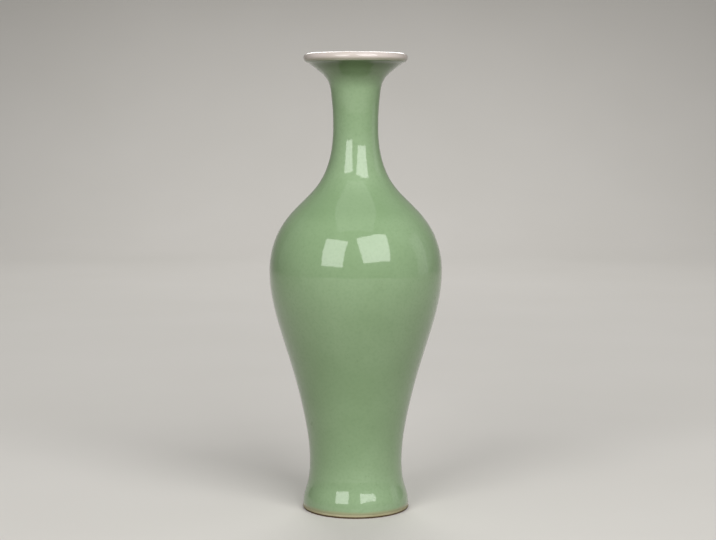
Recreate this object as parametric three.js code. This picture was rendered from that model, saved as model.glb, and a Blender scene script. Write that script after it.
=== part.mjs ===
// A celadon baluster vase with a saucer mouth, in millimetres, standing on z = 0 with its axis on +Z.
// The pieces are those that a potter makes one by one: four thrown porcelain sections, the slip that
// lutes them together, the glaze coats and the dressing on the foot ring.
import * as THREE from 'three';

// Heights of the outline's stages, one on top of the other.
const FOOT_TO_WAIST = 43;
const WAIST_TO_BELLY = 168;
const BELLY_TO_NECK = 127;
const NECK_TO_LIP = 62;

// Outside radii of the glazed vase at the ends of those stages.
const FOOT_RADIUS = 47.2;
const WAIST_RADIUS = 40.8;
const BELLY_RADIUS = 75.7;
const NECK_RADIUS = 19.75;
const MOUTH_RADIUS = 45.4;

// The rolled edge of the mouth, seen in section as a round bead.
const LIP_BEAD_RADIUS = 4.2;
const BEAD_UNDERSIDE_ANGLE = -75;
const LIP_GLAZE_LOWER_ANGLE = -35;
const LIP_GLAZE_INNER_ANGLE = 140;

// Thicknesses.
const PORCELAIN_WALL = 5;
const GLAZE_THICKNESS = 0.7;
const INTERIOR_GLAZE_THICKNESS = 0.5;
const SLIP_THICKNESS = 1.2;
const FLOOR_THICKNESS = 9;
const FLOOR_FILLET_RADIUS = 12;

// The foot: a turned ring round a shallow recess.
const FOOT_RECESS_DEPTH = 7;
const FOOT_RING_WIDTH = 8.5;
const FOOT_RING_TAPER = 1.5;
const BARE_FOOT_HEIGHT = 3.6;
const WASH_THICKNESS = 1.4;
const FOOT_EDGE_ROUNDING = 0.8;

// Lengths of the thrown sections, from the foot up, between the joints where they are luted together.
// The neck section takes what is left.
const FOOT_SECTION_LENGTH = 58;
const LOWER_BODY_SECTION_LENGTH = 142;
const SHOULDER_SECTION_LENGTH = 66;

// Room that a curved face keeps from the next one. Flat faces touch.
const FIT_GAP = 0.3;

// How finely the round stretches are divided.
const TURN_SEGMENTS = 32;
const STAGE_STEPS = [4, 8, 8, 7];
const BEAD_STEP_DEGREES = 30;
const FILLET_STEPS = 4;

const WAIST_HEIGHT = FOOT_TO_WAIST;
const BELLY_HEIGHT = WAIST_HEIGHT + WAIST_TO_BELLY;
const NECK_HEIGHT = BELLY_HEIGHT + BELLY_TO_NECK;
const TOP_HEIGHT = NECK_HEIGHT + NECK_TO_LIP;

const SHANK_JOINT_HEIGHT = FOOT_SECTION_LENGTH;
const BELLY_JOINT_HEIGHT = SHANK_JOINT_HEIGHT + LOWER_BODY_SECTION_LENGTH;
const SHOULDER_JOINT_HEIGHT = BELLY_JOINT_HEIGHT + SHOULDER_SECTION_LENGTH;

const PORCELAIN_INSET = GLAZE_THICKNESS + FIT_GAP;
const WALL_INSET = PORCELAIN_INSET + PORCELAIN_WALL;
const BEAD_CENTRE = new THREE.Vector2(MOUTH_RADIUS - LIP_BEAD_RADIUS, TOP_HEIGHT - LIP_BEAD_RADIUS);
const FLOOR_TOP = FOOT_RECESS_DEPTH + FLOOR_THICKNESS;

// A point part of the way between two ends, with its own share of the height and of the radius.
function between(lower, upper, heightShare, radiusShare) {
  return new THREE.Vector2(
    THREE.MathUtils.lerp(lower.x, upper.x, radiusShare),
    THREE.MathUtils.lerp(lower.y, upper.y, heightShare),
  );
}

function onBead(radius, degrees) {
  const angle = THREE.MathUtils.degToRad(degrees);
  const spoke = new THREE.Vector2(Math.cos(angle), Math.sin(angle));
  return spoke.multiplyScalar(radius).add(BEAD_CENTRE);
}

// The bead's arc from one angle to another, both ends included.
function beadArc(radius, fromDegrees, toDegrees) {
  const steps = Math.ceil(Math.abs(toDegrees - fromDegrees) / BEAD_STEP_DEGREES);
  return Array.from({ length: steps + 1 }, (_, i) =>
    onBead(radius, THREE.MathUtils.lerp(fromDegrees, toDegrees, i / steps)));
}

// The points that the outline of the glazed vase runs through, in its four stages.
function outlineStages() {
  const foot = new THREE.Vector2(FOOT_RADIUS, 0);
  const waist = new THREE.Vector2(WAIST_RADIUS, WAIST_HEIGHT);
  const belly = new THREE.Vector2(BELLY_RADIUS, BELLY_HEIGHT);
  const neck = new THREE.Vector2(NECK_RADIUS, NECK_HEIGHT);
  const lip = onBead(LIP_BEAD_RADIUS, BEAD_UNDERSIDE_ANGLE);
  return [
    [foot, between(foot, waist, 0.22, 0.14), between(foot, waist, 0.48, 0.62)],
    [
      waist,
      between(waist, belly, 0.24, 0.14),
      between(waist, belly, 0.5, 0.455),
      between(waist, belly, 0.77, 0.843),
    ],
    [
      belly,
      between(belly, neck, 0.22, 0.093),
      between(belly, neck, 0.42, 0.392),
      between(belly, neck, 0.58, 0.742),
      between(belly, neck, 0.76, 0.939),
    ],
    [
      neck,
      between(neck, lip, 0.52, 0.08),
      between(neck, lip, 0.715, 0.2),
      between(neck, lip, 0.85, 0.49),
      lip,
    ],
  ];
}

// Slopes at the knots of the natural cubic spline through them, so that its bend never jumps.
function knotSlopes(lengths, values) {
  const last = values.length - 1;
  const upper = new Array(last + 1).fill(0);
  const right = new Array(last + 1).fill(0);
  for (let i = 0; i <= last; i += 1) {
    const before = i > 0 ? 1 / (lengths[i] - lengths[i - 1]) : 0;
    const after = i < last ? 1 / (lengths[i + 1] - lengths[i]) : 0;
    const riseBefore = i > 0 ? 3 * (values[i] - values[i - 1]) * before * before : 0;
    const riseAfter = i < last ? 3 * (values[i + 1] - values[i]) * after * after : 0;
    const pivot = 2 * (before + after) - (i > 0 ? before * upper[i - 1] : 0);
    upper[i] = after / pivot;
    right[i] = (riseBefore + riseAfter - (i > 0 ? before * right[i - 1] : 0)) / pivot;
  }
  const slopes = [...right];
  for (let i = last - 1; i >= 0; i -= 1) {
    slopes[i] -= upper[i] * slopes[i + 1];
  }
  return slopes;
}

// Value and slope of that spline at a length along it.
function splineAt(lengths, values, slopes, interval, share) {
  const span = lengths[interval + 1] - lengths[interval];
  const start = values[interval];
  const end = values[interval + 1];
  const startRise = slopes[interval] * span;
  const endRise = slopes[interval + 1] * span;
  const square = 3 * (end - start) - 2 * startRise - endRise;
  const cube = 2 * (start - end) + startRise + endRise;
  return {
    value: start + share * (startRise + share * (square + share * cube)),
    slope: startRise + share * (2 * square + share * 3 * cube),
  };
}

// Points along the outline from the foot to the lip, each with the direction that faces out of the wall.
function sampleOutline() {
  const stages = outlineStages();
  const knots = stages.flat();
  const lengths = knots.reduce(
    (sums, knot, i) => [...sums, i ? sums[i - 1] + knot.distanceTo(knots[i - 1]) : 0],
    [],
  );
  const radii = knots.map((knot) => knot.x);
  const heights = knots.map((knot) => knot.y);
  const radiusSlopes = knotSlopes(lengths, radii);
  const heightSlopes = knotSlopes(lengths, heights);
  const sampleAt = (length) => {
    const found = lengths.findIndex((end, i) => i > 0 && length <= end + 1e-9);
    const interval = (found < 0 ? lengths.length - 1 : found) - 1;
    const share = (length - lengths[interval]) / (lengths[interval + 1] - lengths[interval]);
    const radius = splineAt(lengths, radii, radiusSlopes, interval, share);
    const height = splineAt(lengths, heights, heightSlopes, interval, share);
    return {
      point: new THREE.Vector2(radius.value, height.value),
      out: new THREE.Vector2(height.slope, -radius.slope).normalize(),
    };
  };
  const samples = [];
  let firstKnot = 0;
  stages.forEach((stage, i) => {
    const lastKnot = Math.min(firstKnot + stage.length, knots.length - 1);
    for (let step = 0; step < STAGE_STEPS[i]; step += 1) {
      const share = step / STAGE_STEPS[i];
      samples.push(sampleAt(THREE.MathUtils.lerp(lengths[firstKnot], lengths[lastKnot], share)));
    }
    firstKnot = lastKnot;
  });
  samples.push(sampleAt(lengths[lengths.length - 1]));
  return samples;
}

const OUTLINE = sampleOutline();

// The outline moved into the wall by a depth.
function inset(depth) {
  return OUTLINE.map(({ point, out }) => point.clone().addScaledVector(out, -depth));
}

function heightOn(a, b, height) {
  return a.clone().lerp(b, (height - a.y) / (b.y - a.y));
}

// The stretch of a rising line of points between two heights, cut flat at both.
function cutBetween(points, low, high) {
  const kept = [];
  points.forEach((point, i) => {
    const next = points[i + 1];
    if (point.y > low && point.y < high) {
      kept.push(point);
    }
    if (next && point.y <= low && next.y > low) {
      kept.push(heightOn(point, next, low));
    }
    if (next && point.y < high && next.y >= high) {
      kept.push(heightOn(point, next, high));
    }
  });
  return kept;
}

// The inside of the hollow at a depth below the outside, up to where the dish of the mouth meets the bead.
function innerWall(depth) {
  const dishTop = onBead(LIP_BEAD_RADIUS - PORCELAIN_INSET, LIP_GLAZE_INNER_ANGLE).y - LIP_BEAD_RADIUS / 2;
  return inset(depth).filter((point) => point.y < dishTop - (depth - WALL_INSET));
}

// The floor of the hollow and the fillet that turns it up into the wall, from the axis outwards.
function floorLine(wall, floorHeight, filletRadius) {
  const top = cutBetween(wall, floorHeight + filletRadius, TOP_HEIGHT)[0];
  const corner = new THREE.Vector2(top.x - filletRadius, floorHeight + filletRadius);
  const line = [new THREE.Vector2(0, floorHeight)];
  for (let i = 0; i < FILLET_STEPS; i += 1) {
    const angle = (Math.PI / 2) * (i / FILLET_STEPS - 1);
    line.push(new THREE.Vector2(Math.cos(angle), Math.sin(angle)).multiplyScalar(filletRadius).add(corner));
  }
  return line;
}

function ceramic(name, colour, roughness) {
  const material = new THREE.MeshStandardMaterial({ color: colour, roughness, metalness: 0 });
  material.name = name;
  return material;
}

const MATERIALS = {
  porcelain: () => ceramic('porcelain', 0xd8d3c4, 0.7),
  slip: () => ceramic('luting_slip', 0xc9c3b2, 0.8),
  celadon: () => ceramic('celadon_glaze', 0x86a079, 0.12),
  white: () => ceramic('white_glaze', 0xd5cbc6, 0.2),
  wash: () => ceramic('iron_wash', 0x4f3f24, 0.75),
};

// A named solid of revolution. The points go round the section with its solid on their left.
function turned(name, points, material) {
  const geometry = new THREE.LatheGeometry(points, TURN_SEGMENTS);
  geometry.rotateX(Math.PI / 2);
  const mesh = new THREE.Mesh(geometry, material);
  mesh.name = name;
  return mesh;
}

function closed(points) {
  return [...points, points[0].clone()];
}

// A ring of the porcelain wall between two heights.
function wallRing(name, low, high, material) {
  const outside = cutBetween(inset(PORCELAIN_INSET), low, high);
  const inside = cutBetween(inset(WALL_INSET), low, high);
  return turned(name, closed([...outside, ...inside.reverse()]), material);
}

function makeSlipJoint(name, height) {
  const half = SLIP_THICKNESS / 2;
  return wallRing(name, height - half, height + half, MATERIALS.slip());
}

function makeShoulderSection() {
  const low = BELLY_JOINT_HEIGHT + SLIP_THICKNESS / 2;
  const high = SHOULDER_JOINT_HEIGHT - SLIP_THICKNESS / 2;
  return wallRing('shoulder_section', low, high, MATERIALS.porcelain());
}

function makeLowerBodySection() {
  const low = SHANK_JOINT_HEIGHT + SLIP_THICKNESS / 2;
  const high = BELLY_JOINT_HEIGHT - SLIP_THICKNESS / 2;
  return wallRing('lower_body_section', low, high, MATERIALS.porcelain());
}

// The neck and the dish of the mouth, thrown as one, with the rolled lip.
function makeNeckSection() {
  const low = SHOULDER_JOINT_HEIGHT + SLIP_THICKNESS / 2;
  const outside = cutBetween(inset(PORCELAIN_INSET), low, TOP_HEIGHT);
  const bead = beadArc(LIP_BEAD_RADIUS - PORCELAIN_INSET, BEAD_UNDERSIDE_ANGLE, LIP_GLAZE_INNER_ANGLE);
  const inside = cutBetween(innerWall(WALL_INSET), low, TOP_HEIGHT);
  const points = [...outside.slice(0, -1), ...bead, ...inside.reverse()];
  return turned('neck_section', closed(points), MATERIALS.porcelain());
}

// The shank, the floor and the foot ring, turned from the lowest section.
function makeFootSection() {
  const high = SHANK_JOINT_HEIGHT - SLIP_THICKNESS / 2;
  const bareTop = BARE_FOOT_HEIGHT - FIT_GAP;
  const ringInner = FOOT_RADIUS - FOOT_RING_WIDTH;
  const bareOutside = cutBetween(inset(FIT_GAP), WASH_THICKNESS, bareTop);
  const coatedOutside = cutBetween(inset(PORCELAIN_INSET), bareTop, high);
  const wall = inset(WALL_INSET);
  const inside = cutBetween(wall, FLOOR_TOP + FLOOR_FILLET_RADIUS, high);
  const points = [
    new THREE.Vector2(0, FOOT_RECESS_DEPTH),
    new THREE.Vector2(ringInner - FOOT_RING_TAPER, FOOT_RECESS_DEPTH),
    new THREE.Vector2(ringInner, WASH_THICKNESS),
    ...bareOutside,
    ...coatedOutside,
    ...inside.reverse(),
    ...floorLine(wall, FLOOR_TOP, FLOOR_FILLET_RADIUS).reverse(),
  ];
  return turned('foot_section', points, MATERIALS.porcelain());
}

// The green coat from the bare foot up to the edge of the white lip.
function makeCeladonGlaze() {
  const seam = THREE.MathUtils.radToDeg(FIT_GAP / LIP_BEAD_RADIUS);
  const end = LIP_GLAZE_LOWER_ANGLE - seam;
  const outside = cutBetween(inset(0), BARE_FOOT_HEIGHT, TOP_HEIGHT);
  const back = cutBetween(inset(GLAZE_THICKNESS), BARE_FOOT_HEIGHT, TOP_HEIGHT);
  const points = [
    ...outside.slice(0, -1),
    ...beadArc(LIP_BEAD_RADIUS, BEAD_UNDERSIDE_ANGLE, end),
    ...beadArc(LIP_BEAD_RADIUS - GLAZE_THICKNESS, end, BEAD_UNDERSIDE_ANGLE),
    ...back.slice(0, -1).reverse(),
  ];
  return turned('celadon_glaze', closed(points), MATERIALS.celadon());
}

function makeLipGlaze() {
  const points = [
    ...beadArc(LIP_BEAD_RADIUS, LIP_GLAZE_LOWER_ANGLE, LIP_GLAZE_INNER_ANGLE),
    ...beadArc(LIP_BEAD_RADIUS - GLAZE_THICKNESS, LIP_GLAZE_INNER_ANGLE, LIP_GLAZE_LOWER_ANGLE),
  ];
  return turned('lip_glaze', closed(points), MATERIALS.white());
}

// The coat inside the hollow, from the floor up to the dish of the mouth.
function makeInteriorGlaze() {
  const backInset = WALL_INSET + FIT_GAP;
  const faceInset = backInset + INTERIOR_GLAZE_THICKNESS;
  const backFloor = FLOOR_TOP + FIT_GAP;
  const faceFloor = backFloor + INTERIOR_GLAZE_THICKNESS;
  const backFillet = FLOOR_FILLET_RADIUS - FIT_GAP;
  const faceFillet = backFillet - INTERIOR_GLAZE_THICKNESS;
  const back = innerWall(backInset);
  const face = innerWall(faceInset);
  const points = [
    ...floorLine(inset(backInset), backFloor, backFillet),
    ...cutBetween(back, backFloor + backFillet, TOP_HEIGHT),
    ...cutBetween(face, faceFloor + faceFillet, TOP_HEIGHT).reverse(),
    ...floorLine(inset(faceInset), faceFloor, faceFillet).reverse(),
  ];
  return turned('interior_glaze', points, MATERIALS.white());
}

// The glazed disc inside the foot ring, on the flat underside of the floor.
function makeBaseGlaze() {
  const radius = FOOT_RADIUS - FOOT_RING_WIDTH - FOOT_RING_TAPER - FIT_GAP - INTERIOR_GLAZE_THICKNESS;
  const low = FOOT_RECESS_DEPTH - INTERIOR_GLAZE_THICKNESS;
  const points = [
    new THREE.Vector2(0, low),
    new THREE.Vector2(radius, low),
    new THREE.Vector2(radius, FOOT_RECESS_DEPTH),
    new THREE.Vector2(0, FOOT_RECESS_DEPTH),
  ];
  return turned('base_glaze', points, MATERIALS.white());
}

// The iron-brown dressing on the ring that the vase stands on.
function makeFootRingWash() {
  const inner = FOOT_RADIUS - FOOT_RING_WIDTH;
  const outer = FOOT_RADIUS - FIT_GAP;
  const points = [
    new THREE.Vector2(inner + FOOT_EDGE_ROUNDING, 0),
    new THREE.Vector2(outer - FOOT_EDGE_ROUNDING, 0),
    new THREE.Vector2(outer, WASH_THICKNESS),
    new THREE.Vector2(inner, WASH_THICKNESS),
  ];
  return turned('foot_ring_wash', closed(points), MATERIALS.wash());
}

const vase = new THREE.Group();
vase.name = 'celadon_vase';
vase.add(
  makeFootSection(),
  makeLowerBodySection(),
  makeShoulderSection(),
  makeNeckSection(),
  makeSlipJoint('shank_slip_joint', SHANK_JOINT_HEIGHT),
  makeSlipJoint('belly_slip_joint', BELLY_JOINT_HEIGHT),
  makeSlipJoint('neck_slip_joint', SHOULDER_JOINT_HEIGHT),
  makeCeladonGlaze(),
  makeLipGlaze(),
  makeInteriorGlaze(),
  makeBaseGlaze(),
  makeFootRingWash(),
);

export default vase;
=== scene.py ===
# The looks of a celadon baluster vase: fine turned coats over its frame, and a plain studio.
import math
from collections import namedtuple

import bpy
import numpy as np
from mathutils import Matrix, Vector


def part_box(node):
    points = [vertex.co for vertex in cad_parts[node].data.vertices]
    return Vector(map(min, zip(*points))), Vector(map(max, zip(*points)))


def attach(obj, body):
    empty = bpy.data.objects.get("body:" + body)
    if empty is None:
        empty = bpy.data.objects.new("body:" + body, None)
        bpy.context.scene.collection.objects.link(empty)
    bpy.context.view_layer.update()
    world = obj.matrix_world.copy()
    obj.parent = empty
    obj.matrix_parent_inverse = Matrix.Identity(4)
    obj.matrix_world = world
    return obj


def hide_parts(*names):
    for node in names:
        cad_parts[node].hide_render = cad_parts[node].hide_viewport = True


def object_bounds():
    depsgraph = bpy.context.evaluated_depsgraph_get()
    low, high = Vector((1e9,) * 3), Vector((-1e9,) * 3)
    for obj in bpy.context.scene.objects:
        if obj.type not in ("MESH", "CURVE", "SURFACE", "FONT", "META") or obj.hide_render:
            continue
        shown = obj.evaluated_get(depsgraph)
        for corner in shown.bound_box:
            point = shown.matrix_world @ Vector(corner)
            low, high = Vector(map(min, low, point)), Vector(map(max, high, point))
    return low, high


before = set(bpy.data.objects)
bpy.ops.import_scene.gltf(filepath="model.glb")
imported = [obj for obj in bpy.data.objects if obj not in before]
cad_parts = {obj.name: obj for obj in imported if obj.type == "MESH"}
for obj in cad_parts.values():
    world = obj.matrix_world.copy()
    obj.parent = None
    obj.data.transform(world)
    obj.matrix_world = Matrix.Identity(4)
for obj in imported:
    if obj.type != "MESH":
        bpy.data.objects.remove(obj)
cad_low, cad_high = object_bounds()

MM = 0.001

# Heights that the looks hang on.
TOP = cad_high.z
GLAZE_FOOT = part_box("celadon_glaze")[0].z
GLAZE_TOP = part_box("celadon_glaze")[1].z
NECK_JOINT = (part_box("neck_slip_joint")[0].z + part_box("neck_slip_joint")[1].z) / 2

# How closely the points of a CAD mesh are told apart, in metres and in digits of a metre.
ON_AXIS = 1e-6
POINT_DIGITS = 6
LEVEL_DIGITS = 5

# How finely a turned piece is made.
TURN_SEGMENTS = 192
SPLINE_STEP = 0.35 * MM
LONGEST_STEP = 3.2 * MM
STEP_TURN_DEGREES = 1.4
CORNER_STEPS = 5
MOST_TRIMMED = 0.45

# A section has a corner where it turns by more than this. The corners of the foot's dressing are blunt.
CORNER_TURN_DEGREES = 50
DRESSING_CORNER_TURN_DEGREES = 30

# How round the edges of the pieces are.
COAT_EDGE = 0.3 * MM
LINING_EDGE = 0.2 * MM
FOOT_EDGE = 0.35 * MM
DRESSING_EDGE = 0.15 * MM

# The short ends of the coats grow by half of the gap that the solids keep, so that no dark seam shows.
SHORT_END = 1.0 * MM
SEAM_CLOSING = 0.16 * MM
LIP_GAP = 0.3 * MM

# The picture that the camera frames, in pixels, and where the vase's axis stands in it.
IMAGE_WIDTH = 716
IMAGE_CENTRE_X = 358.0
VASE_AXIS_X = 355.7

# The camera. Its distance and height are shares of the vase's height.
CAMERA_DISTANCE = 3.514
CAMERA_HEIGHT = 0.8714
CAMERA_PITCH_DEGREES = 5.58
CAMERA_LENS = 80.85
SENSOR_WIDTH = 36.0

# The paper sweep, in metres.
SWEEP_HALF_WIDTH = 5.0
SWEEP_FRONT = -4.0
SWEEP_BACK = 2.4
SWEEP_RADIUS = 1.1
SWEEP_TOP = 4.0
SWEEP_STEPS = 24

# The lights. Azimuth counts from the camera's side, to the right. Angles in degrees, sizes in metres,
# power in watts.
Softbox = namedtuple("Softbox", "name azimuth elevation width height power")
SOFTBOXES = (
    Softbox("left_softbox", azimuth=-31.5, elevation=26.8, width=1.66, height=1.99, power=54.0),
    Softbox("right_softbox", azimuth=29.0, elevation=32.5, width=2.2, height=2.14, power=80.0),
    Softbox("top_softbox", azimuth=0.0, elevation=80.0, width=2.4, height=2.4, power=12.0),
    Softbox("side_softbox", azimuth=100.0, elevation=14.0, width=1.2, height=2.0, power=3.5),
    Softbox("back_softbox", azimuth=180.0, elevation=36.0, width=2.0, height=2.0, power=42.0),
)
LIGHT_DISTANCE = 3.2
WORLD_COLOUR = (1.0, 0.99, 0.97, 1.0)
WORLD_STRENGTH = 0.06
WORLD_PALENESS = 0.22

# Colours as they show on a screen, from 0 to 255.
THICK_CELADON = (135, 163, 121)
THIN_CELADON = (148, 175, 135)
CELADON_GRAIN = (118, 147, 104)
POOLED_CELADON = (112, 142, 97)
# Pooled glaze and painted shade under the lip.
CELADON_POOLED_AND_SHADED_UNDER_LIP = (98, 122, 78)
CELADON_SPECKS = (92, 96, 58)
CELADON_AT_LIP = (178, 178, 160)
CELADON_AT_FOOT = (158, 157, 120)
LIGHT_WHITE = (212, 201, 195)
SHADED_WHITE = (200, 190, 181)
THIN_WHITE = (168, 166, 146)
WORN_WHITE = (196, 176, 158)
INSIDE_WHITE = (176, 190, 164)
WHITE_SPECKS = (120, 104, 76)
COOL_PORCELAIN = (176, 171, 138)
WARM_FOOT = (163, 158, 122)
WARM_BODY = (190, 184, 156)
WARM_SLIP = (200, 193, 168)
PORCELAIN_SPECKS = (96, 78, 48)
DARK_IRON = (74, 55, 31)
LIGHT_IRON = (104, 82, 50)
WORN_IRON = (146, 128, 90)
PAPER = (206, 203, 197)
LIGHT_PAPER = (212, 209, 204)
PAPER_BOUNCE = (104, 96, 80)

# Sockets of Blender's Mix node when it mixes colours.
MIX_SHARE, MIX_FIRST, MIX_SECOND, MIX_RESULT = 0, 6, 7, 2

# A bump map and how deep it goes, in metres.
Relief = namedtuple("Relief", "map depth")


def column(node):
    """The edges of a turned CAD node that lie in the half plane x = 0, y < 0, as links between points."""
    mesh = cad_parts[node].data
    links = {}
    for polygon in mesh.polygons:
        corners = [mesh.vertices[i].co for i in polygon.vertices]
        for here, there in zip(corners, corners[1:] + corners[:1]):
            if max(abs(here.x), abs(there.x)) > ON_AXIS or max(here.y, there.y) > ON_AXIS:
                continue
            a, b = [(round(abs(c.y), POINT_DIGITS), round(c.z, POINT_DIGITS)) for c in (here, there)]
            if a != b:
                links.setdefault(a, set()).add(b)
                links.setdefault(b, set()).add(a)
    return links


def section(node):
    """A turned node's section in order, as (radius, height), and whether it closes on itself."""
    links = column(node)
    ends = [p for p in links if p[0] < ON_AXIS]
    closed = not ends
    path = [min(ends or links, key=lambda p: (round(p[1], LEVEL_DIGITS), -p[0]))]
    while True:
        here = path[-1]
        onward = [p for p in links[here] if p not in path and max(p[0], here[0]) >= ON_AXIS]
        if not onward:
            break
        path.append(max(onward) if len(path) == 1 else onward[0])
    points = np.array(path)
    after = np.roll(points, -1, axis=0)
    area = np.sum(points[:, 0] * after[:, 1] - after[:, 0] * points[:, 1])
    return (points if area > 0 else points[::-1]), closed


def lengths_along(line):
    return np.concatenate([[0], np.cumsum(np.linalg.norm(np.diff(line, axis=0), axis=1))])


def turn_at(before, here, after):
    a, b = here - before, after - here
    return math.degrees(abs(math.atan2(a[0] * b[1] - a[1] * b[0], float(a @ b))))


def bends(points, spans):
    """Second derivatives at the points of the natural cubic spline through them."""
    count = len(points)
    matrix = np.zeros((count, count))
    right = np.zeros((count, 2))
    matrix[0, 0] = matrix[-1, -1] = 1
    for i in range(1, count - 1):
        matrix[i, i - 1 : i + 2] = spans[i - 1], 2 * (spans[i - 1] + spans[i]), spans[i]
        rise_before = (points[i] - points[i - 1]) / spans[i - 1]
        rise_after = (points[i + 1] - points[i]) / spans[i]
        right[i] = 6 * (rise_after - rise_before)
    return np.linalg.solve(matrix, right)


def thinned(line):
    """The line without the points that it can do without where it runs nearly straight."""
    kept = [line[0]]
    turned = 0.0
    for before, here, after in zip(line, line[1:], line[2:]):
        turned += turn_at(before, here, after)
        if turned > STEP_TURN_DEGREES or np.linalg.norm(here - kept[-1]) > LONGEST_STEP:
            kept.append(here)
            turned = 0.0
    return np.array(kept + [line[-1]])


def spline(points):
    """A smooth line through the points, whose bend never jumps."""
    if len(points) < 3:
        return points
    lengths = lengths_along(points)
    spans = np.diff(lengths)
    bend = bends(points, spans)
    wanted = np.linspace(0, lengths[-1], max(3, math.ceil(lengths[-1] / SPLINE_STEP)))
    i = np.clip(np.searchsorted(lengths, wanted, side="right") - 1, 0, len(points) - 2)
    span = spans[i][:, None]
    left, rest = (wanted - lengths[i])[:, None], (lengths[i + 1] - wanted)[:, None]
    return thinned(
        bend[i] * rest**3 / (6 * span)
        + bend[i + 1] * left**3 / (6 * span)
        + (points[i] / span - bend[i] * span / 6) * rest
        + (points[i + 1] / span - bend[i + 1] * span / 6) * left
    )


def trimmed(line, from_start, from_end):
    """The line without its first and last stretches of these lengths."""
    along = lengths_along(line)
    most = along[-1] * MOST_TRIMMED
    first, last = min(from_start, most), along[-1] - min(from_end, most)
    inner = line[(along > first) & (along < last)]
    ends = [np.array([np.interp(at, along, line[:, k]) for k in (0, 1)]) for at in (first, last)]
    return np.vstack([ends[0][None], inner, ends[1][None]])


def with_longer_ends(points, corners):
    """The section with each short face between two corners moved out along its normal."""
    moved = points.copy()
    for i in corners:
        j = (i + 1) % len(points)
        side = points[j] - points[i]
        length = np.linalg.norm(side)
        if j in corners and length < SHORT_END:
            outward = np.array([side[1], -side[0]]) / length
            moved[i] += outward * SEAM_CLOSING
            moved[j] += outward * SEAM_CLOSING
    return moved


def carried_to_lip(points):
    """The inside coat's section, carried on over the dish of the mouth to the edge of the lip's coat."""
    lip, _ = section("lip_glaze")
    face, back = lip[np.argsort(lip[:, 0])[:2]]
    top = int(np.argmax(points[:-1, 1] + points[1:, 1]))
    onward = points[top + 1] - face
    gap = onward / np.linalg.norm(onward) * LIP_GAP
    return np.vstack([points[: top + 1], [back + gap, face + gap], points[top + 1 :]])


def corners_of(points, closed, corner_turn):
    """The places in the section where it turns sharply."""
    count = len(points)
    inner = range(count) if closed else range(1, count - 1)
    return [i for i in inner if turn_at(points[i - 1], points[i], points[(i + 1) % count]) > corner_turn]


def smooth_stretches(points, corners, closed):
    """The section as smooth lines from corner to corner."""
    count = len(points)
    if closed:
        points = np.roll(points, -corners[0], axis=0)
        points = np.vstack([points, points[:1]])
        stops = [i - corners[0] for i in corners] + [count]
    else:
        stops = [0] + corners + [count - 1]
    return [spline(points[a : b + 1]) for a, b in zip(stops, stops[1:])]


def fine_section(node, edge_radius, corner_turn, carried_on):
    """A node's section with its round stretches smooth and its corners rounded."""
    points, closed = section(node)
    if carried_on:
        points = carried_on(points)
    corners = corners_of(points, closed, corner_turn)
    lines = smooth_stretches(with_longer_ends(points, corners), corners, closed)
    made = []
    for k, line in enumerate(lines):
        start = edge_radius if closed or k > 0 else 0
        end = edge_radius if closed or k < len(lines) - 1 else 0
        cut = trimmed(line, start, end) if start or end else line
        made.append(cut)
        if not end:
            continue
        following = lines[(k + 1) % len(lines)]
        onward = trimmed(following, edge_radius, edge_radius)[0]
        share = np.linspace(0, 1, CORNER_STEPS + 1)[1:-1, None]
        made.append((1 - share) ** 2 * cut[-1] + 2 * share * (1 - share) * line[-1] + share**2 * onward)
    return np.vstack(made), closed


def turned_mesh(name, points, closed):
    """A closed mesh of revolution about the Z axis from a section."""
    rings, corners, faces = [], [], []
    for radius, height in points:
        if radius < ON_AXIS:
            rings.append([len(corners)] * TURN_SEGMENTS)
            corners.append((0.0, 0.0, height))
            continue
        rings.append(list(range(len(corners), len(corners) + TURN_SEGMENTS)))
        for k in range(TURN_SEGMENTS):
            angle = 2 * math.pi * k / TURN_SEGMENTS
            corners.append((radius * math.cos(angle), radius * math.sin(angle), height))
    pairs = list(zip(rings, rings[1:])) + ([(rings[-1], rings[0])] if closed else [])
    for low, high in pairs:
        for k in range(TURN_SEGMENTS):
            following = (k + 1) % TURN_SEGMENTS
            loop = [low[k], low[following], high[following], high[k]]
            faces.append(list(dict.fromkeys(loop)))
    mesh = bpy.data.meshes.new(name)
    mesh.from_pydata(corners, [], faces)
    mesh.validate()
    mesh.shade_smooth()
    return mesh


def turned_piece(name, node, edge_radius, material, corner_turn=CORNER_TURN_DEGREES, carried_on=None):
    """A fine turned piece in the place of a CAD node."""
    points, closed = fine_section(node, edge_radius, corner_turn, carried_on)
    piece = bpy.data.objects.new(name, turned_mesh(name, points, closed))
    bpy.context.scene.collection.objects.link(piece)
    piece.data.materials.append(material)
    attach(piece, "root")
    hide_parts(node)


def paint(colour):
    """A colour given as it shows on a screen, in linear light."""
    def linear(level):
        level /= 255
        return level / 12.92 if level <= 0.04045 else ((level + 0.055) / 1.055) ** 2.4
    return (*map(linear, colour), 1.0)


def seen_directly(tree):
    """1 for rays from the camera, reflections and what shows through glass, and 0 for light thrown back."""
    rays = tree.nodes.new("ShaderNodeLightPath").outputs
    seen = rays["Is Camera Ray"]
    for kind in ("Is Glossy Ray", "Is Transmission Ray"):
        either = tree.nodes.new("ShaderNodeMath")
        either.operation = "MAXIMUM"
        tree.links.new(seen, either.inputs[0])
        tree.links.new(rays[kind], either.inputs[1])
        seen = either.outputs[0]
    return seen


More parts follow.
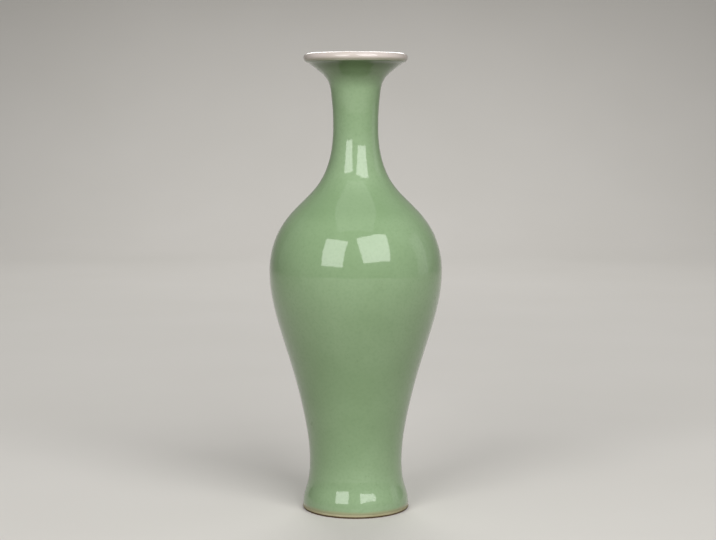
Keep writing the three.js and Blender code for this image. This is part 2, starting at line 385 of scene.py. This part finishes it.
class Shader:
    """A material with one Principled BSDF and short calls for the nodes that feed it."""

    def __init__(self, name, **uniform):
        self.material = bpy.data.materials.new(name)
        self.material.use_nodes = True
        self.tree = self.material.node_tree
        self.surface = self.tree.nodes["Principled BSDF"]
        for socket, value in uniform.items():
            self.surface.inputs[socket.replace("_", " ")].default_value = value
        self.place = self.tree.nodes.new("ShaderNodeTexCoord").outputs["Object"]

    def node(self, kind, inputs, **settings):
        made = self.tree.nodes.new(kind)
        for key, value in settings.items():
            setattr(made, key, value)
        for key, value in inputs.items():
            self.feed(made.inputs[key], value)
        return made

    def feed(self, socket, value):
        if isinstance(value, bpy.types.NodeSocket):
            self.tree.links.new(value, socket)
        else:
            socket.default_value = value

    def math(self, operation, a, b):
        return self.node("ShaderNodeMath", {0: a, 1: b}, operation=operation).outputs[0]

    def scaled(self, value, factor):
        return self.math("MULTIPLY", value, factor)

    def inverse(self, share):
        return self.math("SUBTRACT", 1.0, share)

    def ramp(self, share, low, high):
        """A share spread out from 0 to 1 between two of its values."""
        spread = {"Value": share, "From Min": low, "From Max": high}
        return self.node("ShaderNodeMapRange", spread).outputs[0]

    def noise(self, scale, detail):
        inputs = {"Vector": self.place, "Scale": scale, "Detail": detail}
        return self.node("ShaderNodeTexNoise", inputs).outputs[0]

    def patches(self, scale, detail, low, high):
        """Soft patches from 0 to 1."""
        return self.ramp(self.noise(scale, detail), low, high)

    def rings(self, scale, distortion, detail_scale):
        """The potter's turning marks, round the axis."""
        inputs = {
            "Vector": self.place,
            "Scale": scale,
            "Distortion": distortion,
            "Detail": 2.0,
            "Detail Scale": detail_scale,
        }
        return self.node("ShaderNodeTexWave", inputs, wave_type="BANDS", bands_direction="Z").outputs[1]

    def specks(self, scale, size):
        """Tiny round spots, from 0 outside them to 1 inside, with a share of them left out."""
        cells = self.node("ShaderNodeTexVoronoi", {"Vector": self.place, "Scale": scale})
        near = self.ramp(cells.outputs["Distance"], low=size, high=size * 0.5)
        chosen = self.math("GREATER_THAN", self.noise(scale=31.0, detail=2.0), 0.6)
        return self.math("MULTIPLY", near, chosen)

    def height(self, low, high, wander=0.0):
        """From 0 to 1 between two heights, with an edge that wanders by about this much."""
        z = self.node("ShaderNodeSeparateXYZ", {0: self.place}).outputs["Z"]
        if wander:
            aside = self.math("SUBTRACT", self.noise(scale=45.0, detail=4.0), 0.5)
            z = self.math("ADD", z, self.scaled(aside, 4 * wander))
        steps = {"Value": z, "From Min": low, "From Max": high}
        return self.node("ShaderNodeMapRange", steps, interpolation_type="SMOOTHSTEP").outputs[0]

    def between(self, low, full_low, full_high, high):
        """1 between two heights, fading out to 0 beyond them."""
        return self.math("MULTIPLY", self.height(low, full_low), self.inverse(self.height(full_high, high)))

    def mix(self, share, first, second):
        made = self.node("ShaderNodeMix", {}, data_type="RGBA")
        self.feed(made.inputs[MIX_SHARE], share)
        self.feed(made.inputs[MIX_FIRST], first)
        self.feed(made.inputs[MIX_SECOND], second)
        return made.outputs[MIX_RESULT]

    def ground(self, share, first, second):
        """The colour that the others are laid over."""
        self.colour(self.mix(share, paint(first), paint(second)))

    def cover(self, share, colour):
        """A colour laid over those so far, where the share is above 0."""
        self.colour(self.mix(share, self.top_colour, paint(colour)))

    def colour(self, value):
        self.top_colour = value
        self.tree.links.new(value, self.surface.inputs["Base Color"])

    def roughness(self, scale, detail, lowest, spread):
        wavering = self.scaled(self.noise(scale, detail), spread)
        self.tree.links.new(self.math("ADD", wavering, lowest), self.surface.inputs["Roughness"])

    def reliefs(self, *layers):
        normal = None
        for layer in layers:
            inputs = {"Height": layer.map, "Distance": layer.depth, "Strength": 1.0}
            if normal is not None:
                inputs["Normal"] = normal
            normal = self.node("ShaderNodeBump", inputs).outputs[0]
        for socket in ("Normal", "Coat Normal"):
            self.tree.links.new(normal, self.surface.inputs[socket])


def celadon():
    """Green glaze: deeper where it pools, darkened under the lip by pooled glaze and painted shade, thin
    and pale at its two edges, with grain and iron specks.
    """
    shader = Shader(
        "celadon_glaze", Coat_Weight=1.0, Coat_Roughness=0.05, Coat_IOR=1.5, Specular_IOR_Level=0.08
    )
    clouds = shader.patches(scale=11.0, detail=3.0, low=0.35, high=0.65)
    grain = shader.patches(scale=420.0, detail=4.0, low=0.45, high=0.7)
    pooled = shader.between(
        low=NECK_JOINT - 12 * MM,
        full_low=NECK_JOINT + 2 * MM,
        full_high=NECK_JOINT + 8 * MM,
        high=NECK_JOINT + 30 * MM,
    )
    # Painted shade under the lip, over glaze that pools there: the top few millimetres of the coat are
    # darkened.
    pooled_glaze_and_painted_shade_under_lip = shader.height(low=GLAZE_TOP - 10 * MM, high=GLAZE_TOP - 4 * MM)
    lip_edge = shader.height(low=GLAZE_TOP - 1.3 * MM, high=GLAZE_TOP - 0.3 * MM, wander=0.3 * MM)
    above_foot = shader.height(low=GLAZE_FOOT + 0.4 * MM, high=GLAZE_FOOT + 3.2 * MM, wander=0.5 * MM)
    shader.ground(clouds, THICK_CELADON, THIN_CELADON)
    shader.cover(shader.scaled(grain, 0.22), CELADON_GRAIN)
    shader.cover(shader.scaled(pooled, 0.25), POOLED_CELADON)
    shader.cover(shader.scaled(pooled_glaze_and_painted_shade_under_lip, 0.6), CELADON_POOLED_AND_SHADED_UNDER_LIP)
    shader.cover(shader.scaled(shader.specks(scale=330.0, size=0.16), 0.28), CELADON_SPECKS)
    shader.cover(lip_edge, CELADON_AT_LIP)
    shader.cover(shader.scaled(shader.inverse(above_foot), 0.85), CELADON_AT_FOOT)
    shader.roughness(scale=60.0, detail=3.0, lowest=0.24, spread=0.12)
    shader.reliefs(
        Relief(shader.rings(scale=38.0, distortion=1.4, detail_scale=0.4), depth=0.012 * MM),
        Relief(shader.noise(scale=26.0, detail=2.0), depth=0.35 * MM),
        Relief(shader.noise(scale=330.0, detail=3.0), depth=0.016 * MM),
        Relief(shader.inverse(shader.specks(scale=240.0, size=0.1)), depth=0.05 * MM),
    )
    return shader.material


def lip_tint(shader):
    """Thin at the lower edge and worn along the crest."""
    above_edge = shader.height(low=GLAZE_TOP + 0.1 * MM, high=GLAZE_TOP + 2.3 * MM, wander=0.4 * MM)
    crest = shader.between(low=TOP - 1.6 * MM, full_low=TOP - 0.8 * MM, full_high=TOP, high=TOP + MM)
    worn = shader.math("MULTIPLY", crest, shader.patches(scale=90.0, detail=4.0, low=0.5, high=0.75))
    shader.cover(shader.scaled(shader.inverse(above_edge), 0.9), THIN_WHITE)
    shader.cover(shader.scaled(worn, 0.35), WORN_WHITE)


def inside_tint(shader):
    shader.cover(0.25, INSIDE_WHITE)


def white_glaze(name, tint):
    shader = Shader(name, Coat_Weight=1.0, Coat_Roughness=0.06, Coat_IOR=1.5, Specular_IOR_Level=0.1)
    clouds = shader.patches(scale=38.0, detail=4.0, low=0.35, high=0.65)
    shader.ground(clouds, LIGHT_WHITE, SHADED_WHITE)
    tint(shader)
    shader.cover(shader.scaled(shader.specks(scale=300.0, size=0.14), 0.35), WHITE_SPECKS)
    shader.roughness(scale=70.0, detail=3.0, lowest=0.18, spread=0.14)
    shader.reliefs(
        Relief(shader.noise(scale=48.0, detail=2.0), depth=0.2 * MM),
        Relief(shader.noise(scale=360.0, detail=3.0), depth=0.018 * MM),
    )
    return shader.material


def bare_porcelain(name, warm):
    """Unglazed porcelain with fine turning marks and iron specks."""
    shader = Shader(name, Specular_IOR_Level=0.35)
    clouds = shader.patches(scale=60.0, detail=5.0, low=0.35, high=0.68)
    shader.ground(clouds, COOL_PORCELAIN, warm)
    shader.cover(shader.scaled(shader.specks(scale=420.0, size=0.2), 0.6), PORCELAIN_SPECKS)
    shader.roughness(scale=180.0, detail=4.0, lowest=0.48, spread=0.25)
    shader.reliefs(
        Relief(shader.rings(scale=210.0, distortion=0.8, detail_scale=1.0), depth=0.02 * MM),
        Relief(shader.noise(scale=900.0, detail=4.0), depth=0.03 * MM),
    )
    return shader.material


def iron_wash():
    """The brown dressing on the foot ring, rubbed through in places."""
    shader = Shader("iron_wash", Specular_IOR_Level=0.4)
    clouds = shader.patches(scale=75.0, detail=5.0, low=0.3, high=0.7)
    rubbed = shader.patches(scale=520.0, detail=4.0, low=0.6, high=0.75)
    shader.ground(clouds, DARK_IRON, LIGHT_IRON)
    shader.cover(shader.scaled(rubbed, 0.6), WORN_IRON)
    shader.roughness(scale=240.0, detail=4.0, lowest=0.42, spread=0.3)
    shader.reliefs(Relief(shader.noise(scale=800.0, detail=4.0), depth=0.05 * MM))
    return shader.material


def studio_paper():
    """Pale to the camera and in reflections, and deeper for the light that it throws back on the vase."""
    shader = Shader("studio_paper", Roughness=0.85, Specular_IOR_Level=0.2)
    pale = shader.mix(shader.noise(scale=3.0, detail=2.0), paint(PAPER), paint(LIGHT_PAPER))
    shader.colour(shader.mix(seen_directly(shader.tree), paint(PAPER_BOUNCE), pale))
    return shader.material


def build_studio():
    """A pale sweep: a floor that curves up into a backdrop."""
    profile = [(SWEEP_FRONT, 0.0)]
    for k in range(SWEEP_STEPS + 1):
        angle = math.pi / 2 * k / SWEEP_STEPS
        profile.append((SWEEP_BACK + SWEEP_RADIUS * math.sin(angle), SWEEP_RADIUS * (1 - math.cos(angle))))
    profile.append((SWEEP_BACK + SWEEP_RADIUS, SWEEP_TOP))
    corners = [(side, y, z) for y, z in profile for side in (-SWEEP_HALF_WIDTH, SWEEP_HALF_WIDTH)]
    faces = [(2 * k, 2 * k + 1, 2 * k + 3, 2 * k + 2) for k in range(len(profile) - 1)]
    mesh = bpy.data.meshes.new("studio_sweep")
    mesh.from_pydata(corners, [], faces)
    mesh.shade_smooth()
    sweep = bpy.data.objects.new("studio_sweep", mesh)
    bpy.context.scene.collection.objects.link(sweep)
    mesh.materials.append(studio_paper())


def build_softbox(box):
    """A rectangular light aimed at the belly."""
    light = bpy.data.lights.new(box.name, "AREA")
    light.shape = "RECTANGLE"
    light.size, light.size_y = box.width, box.height
    light.energy = box.power
    lamp = bpy.data.objects.new(box.name, light)
    bpy.context.scene.collection.objects.link(lamp)
    around, up = math.radians(box.azimuth), math.radians(box.elevation)
    toward = Vector((math.sin(around) * math.cos(up), -math.cos(around) * math.cos(up), math.sin(up)))
    lamp.location = Vector((0, 0, TOP / 2)) + toward * LIGHT_DISTANCE
    lamp.rotation_euler = toward.to_track_quat("Z", "Y").to_euler()


def build_world():
    """A low light from all round, which looks paler than that to the camera and in reflections."""
    world = bpy.data.worlds.new("studio_light")
    world.use_nodes = True
    tree = world.node_tree
    background = tree.nodes["Background"]
    background.inputs["Color"].default_value = WORLD_COLOUR
    strength = tree.nodes.new("ShaderNodeMapRange")
    strength.inputs["To Min"].default_value = WORLD_STRENGTH
    strength.inputs["To Max"].default_value = WORLD_PALENESS
    tree.links.new(seen_directly(tree), strength.inputs["Value"])
    tree.links.new(strength.outputs[0], background.inputs["Strength"])
    bpy.context.scene.world = world


def build_camera():
    data = bpy.data.cameras.new("camera")
    data.sensor_width = SENSOR_WIDTH
    data.sensor_fit = "HORIZONTAL"
    data.lens = CAMERA_LENS
    camera = bpy.data.objects.new("camera", data)
    bpy.context.scene.collection.objects.link(camera)
    distance = CAMERA_DISTANCE * TOP
    metres_per_pixel = distance * SENSOR_WIDTH / CAMERA_LENS / IMAGE_WIDTH
    aside = (IMAGE_CENTRE_X - VASE_AXIS_X) * metres_per_pixel
    camera.location = (aside, -distance, CAMERA_HEIGHT * TOP)
    camera.rotation_euler = (math.radians(90 - CAMERA_PITCH_DEGREES), 0, 0)
    bpy.context.scene.camera = camera


def dress(nodes, material):
    """CAD nodes that keep their shape get their finish."""
    for node in nodes:
        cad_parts[node].data.materials.clear()
        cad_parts[node].data.materials.append(material)


def build_vase():
    lining = white_glaze("inside_glaze", inside_tint)
    turned_piece("celadon_coat", "celadon_glaze", COAT_EDGE, celadon())
    turned_piece("white_lip", "lip_glaze", COAT_EDGE, white_glaze("lip_white", lip_tint))
    turned_piece(
        "inside_coat", "interior_glaze", LINING_EDGE, lining, carried_on=carried_to_lip
    )
    turned_piece("base_coat", "base_glaze", LINING_EDGE, lining)
    turned_piece("foot", "foot_section", FOOT_EDGE, bare_porcelain("bare_foot", WARM_FOOT))
    turned_piece(
        "foot_ring_dressing", "foot_ring_wash", DRESSING_EDGE, iron_wash(),
        corner_turn=DRESSING_CORNER_TURN_DEGREES,
    )
    dress(
        ("lower_body_section", "shoulder_section", "neck_section"),
        bare_porcelain("porcelain_body", WARM_BODY),
    )
    dress(
        ("shank_slip_joint", "belly_slip_joint", "neck_slip_joint"),
        bare_porcelain("luting_slip", WARM_SLIP),
    )


build_camera()
build_vase()
build_studio()
for softbox in SOFTBOXES:
    build_softbox(softbox)
build_world()
bpy.context.scene.view_settings.view_transform = "Standard"
